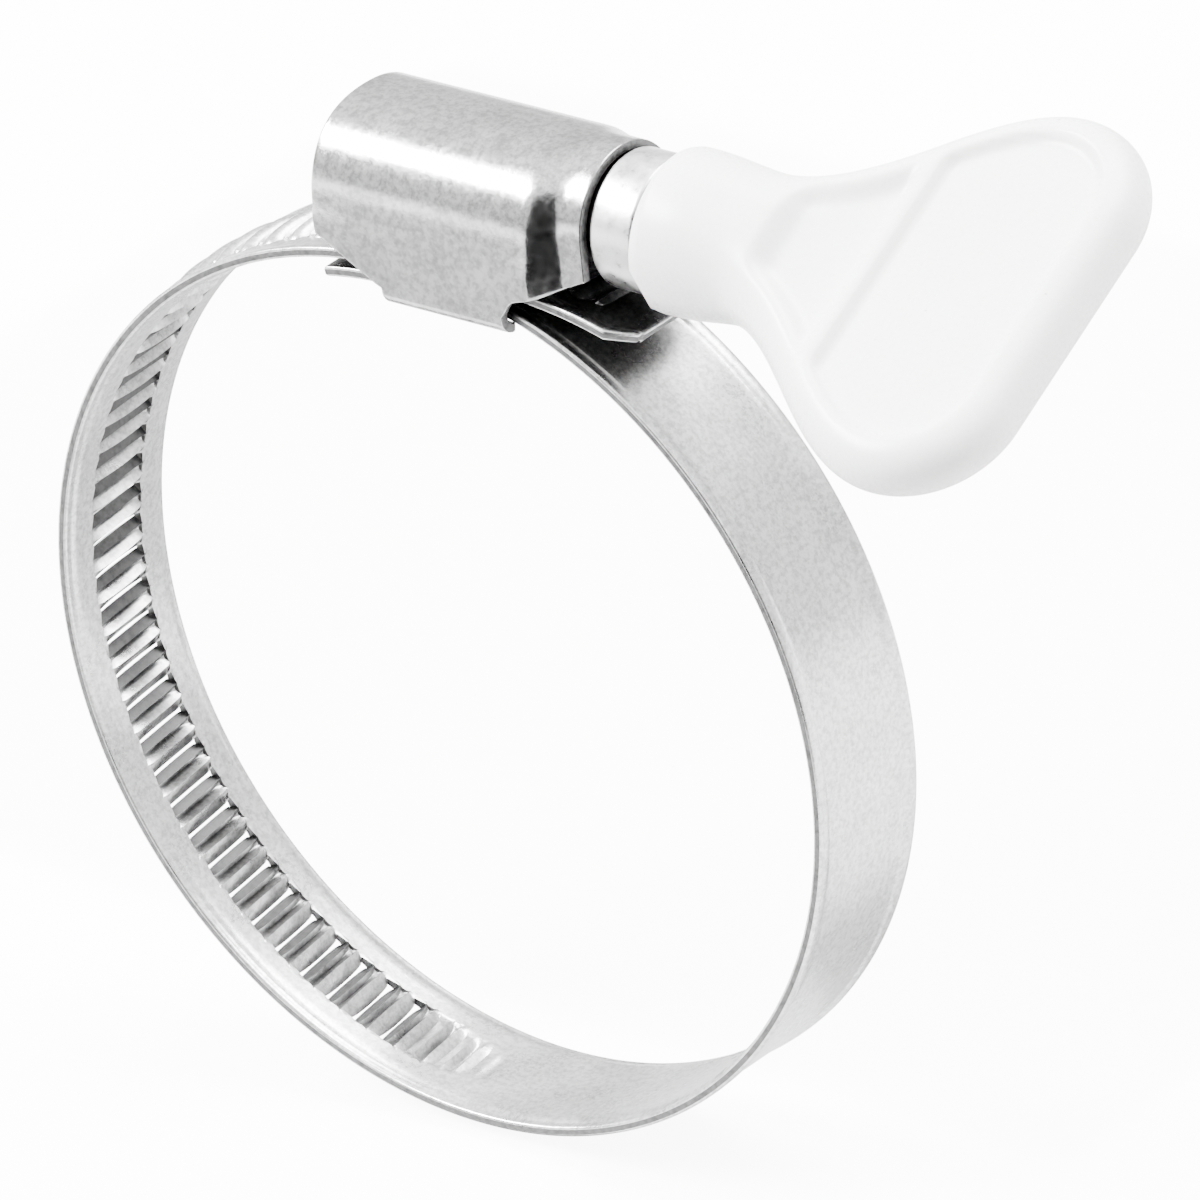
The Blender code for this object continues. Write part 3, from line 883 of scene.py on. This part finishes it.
def make_handle(material):
    """Moulded wing handle: both faces of the plate over the same grid, joined at the rim."""
    mouth_end = HUB_START + MOUTH_LENGTH
    xs = [HUB_START + MOUTH_LENGTH * (1.0 - math.cos(math.pi / 2.0 * t / 4)) for t in range(4)]
    xs += list(np.linspace(mouth_end, LOBE_X, 88))
    xs += [LOBE_X + LOBE_RADIUS * math.sin(math.pi / 2.0 * t / 30) for t in range(1, 31)]
    grid = [wing_ring(x) for x in xs]
    obj = sheet_mesh("wing_handle_body", grid, None, lambda i, j: (xs[i], j), closed=True)
    freeze(obj, 60)
    obj.data.materials.append(material)
    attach(obj, "screw")
    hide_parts("wing_handle")


# ------------------------------------------------------------------ camera, light and floor

CAMERA_PLACE = (672.0, -774.6, 513.4)
CAMERA_AIM = (4.486, 5.580, 2.661)
CAMERA_ROLL = math.radians(-5.7)
BACKDROP = 11.0                 # brightness of the white background
# Sizes and places of the floor, the cards and the lights are in metres
FLOOR_SIZE = 8.0
FLOOR_GAP = 0.0006              # the floor lies this far under the ring


def look_at(obj, target, roll=0.0):
    aim = (Vector(target) - obj.location).to_track_quat("-Z", "Y")
    obj.rotation_mode = "QUATERNION"
    obj.rotation_quaternion = aim @ Quaternion((0.0, 0.0, 1.0), roll)


def make_camera():
    """A long lens, as the photo shows hardly any perspective."""
    data = bpy.data.cameras.new("camera")
    data.lens = 600.0
    data.sensor_width = 36.0
    data.clip_end = 20.0
    camera = bpy.data.objects.new("camera", data)
    bpy.context.scene.collection.objects.link(camera)
    camera.location = Vector(CAMERA_PLACE) * MM
    look_at(camera, Vector(CAMERA_AIM) * MM, CAMERA_ROLL)
    bpy.context.scene.camera = camera


def area_light(name, azimuth, elevation, distance, size, power, aim=(0.0, 0.0, 0.02)):
    data = bpy.data.lights.new(name, "AREA")
    data.shape = "RECTANGLE"
    data.size, data.size_y = size
    data.energy = power
    light = bpy.data.objects.new(name, data)
    bpy.context.scene.collection.objects.link(light)
    a, e = math.radians(azimuth), math.radians(elevation)
    light.location = (distance * math.sin(a) * math.cos(e), -distance * math.cos(a) * math.cos(e),
                      distance * math.sin(e))
    look_at(light, aim)


def make_world():
    """White background. Everything else sees a studio that is bright above and grey below."""
    world = bpy.data.worlds.new("studio")
    bpy.context.scene.world = world
    world.use_nodes = True
    tree = world.node_tree
    tree.nodes.clear()
    out = tree.nodes.new("ShaderNodeOutputWorld")
    coords = tree.nodes.new("ShaderNodeTexCoord")
    split = tree.nodes.new("ShaderNodeSeparateXYZ")
    tree.links.new(coords.outputs["Generated"], split.inputs[0])
    sky = ramp(tree, spread(tree, split.outputs["Z"], 0.0, 1.0, -1.0, 1.0),
               ((0.0, 0.3), (0.47, 0.34), (0.54, 0.5), (0.7, 0.58), (0.85, 0.85), (1.0, 1.0)))
    studio = tree.nodes.new("ShaderNodeBackground")
    studio.inputs["Strength"].default_value = 4.0
    tree.links.new(sky, studio.inputs["Color"])
    plain = tree.nodes.new("ShaderNodeBackground")
    plain.inputs["Strength"].default_value = BACKDROP
    path = tree.nodes.new("ShaderNodeLightPath")
    mix = tree.nodes.new("ShaderNodeMixShader")
    tree.links.new(path.outputs["Is Camera Ray"], mix.inputs["Fac"])
    tree.links.new(studio.outputs[0], mix.inputs[1])
    tree.links.new(plain.outputs[0], mix.inputs[2])
    tree.links.new(mix.outputs[0], out.inputs["Surface"])


def stage_plane(name, size, place, material, lean=0.0):
    mesh = bpy.data.meshes.new(name)
    bm = bmesh.new()
    bmesh.ops.create_grid(bm, x_segments=1, y_segments=1, size=0.5)
    bm.to_mesh(mesh)
    bm.free()
    plane = bpy.data.objects.new(name, mesh)
    plane.scale = (size[0], size[1], 1.0)
    plane.location = place
    plane.rotation_euler = (math.radians(lean), 0.0, 0.0)
    bpy.context.scene.collection.objects.link(plane)
    mesh.materials.append(material)
    return plane


def make_floor():
    """Plain white floor under the ring, which glows to the camera like the background."""
    mat, tree, shader = new_material("floor_white")
    shader.inputs["Base Color"].default_value = (0.6, 0.6, 0.6, 1.0)
    shader.inputs["Roughness"].default_value = 0.9
    shader.inputs["Emission Color"].default_value = (1.0, 1.0, 1.0, 1.0)
    path = tree.nodes.new("ShaderNodeLightPath")
    glow = spread(tree, path.outputs["Is Camera Ray"], 0.0, BACKDROP - 2.0, 0.0, 1.0)
    tree.links.new(glow, shader.inputs["Emission Strength"])
    stage_plane("floor", (FLOOR_SIZE, FLOOR_SIZE), (0.0, 0.0, cad_low.z - FLOOR_GAP), mat)


def make_card(name, grey, size, place, lean=0.0):
    """A card out of the picture, which gives the polished steel its darker reflections."""
    mat, _, shader = new_material(name)
    shader.inputs["Base Color"].default_value = (grey, grey, grey, 1.0)
    shader.inputs["Roughness"].default_value = 0.9
    shader.inputs["Specular IOR Level"].default_value = 0.0
    card = stage_plane(name, size, place, mat, lean)
    card.visible_camera = False
    card.visible_shadow = False


def make_studio():
    """Camera, white surroundings, dark cards out of the picture, and two soft lights."""
    make_camera()
    make_world()
    make_floor()
    make_card("black_card", 0.003, (0.24, 0.15), (0.125, -0.135, cad_low.z + 0.004))
    make_card("black_wall", 0.006, (0.26, 0.25), (0.13, -0.21, 0.095), 90.0)
    make_card("grey_card", 0.26, (0.15, 0.17), (-0.075, -0.115, cad_low.z + 0.002))
    make_card("dim_card", 0.22, (0.125, 0.1), (-0.03, 0.06, cad_low.z + 0.002))
    area_light("key", -54.0, 42.0, 1.0, (0.7, 0.32), 60.0)
    area_light("top", 160.0, 68.0, 1.2, (0.9, 0.7), 55.0)


def main():
    edge = sheared_steel("sheared_edge", 0.08, 0.18)
    # the slot walls take a darker copy of the sheared steel: painted shade inside the slots
    make_strip((strip_steel(), sheared_steel("slot_wall_painted_shade", 0.05, 0.1), edge))
    make_housing((housing_steel(), edge))
    make_screw(screw_steel())
    make_handle(handle_plastic())
    make_studio()


main()
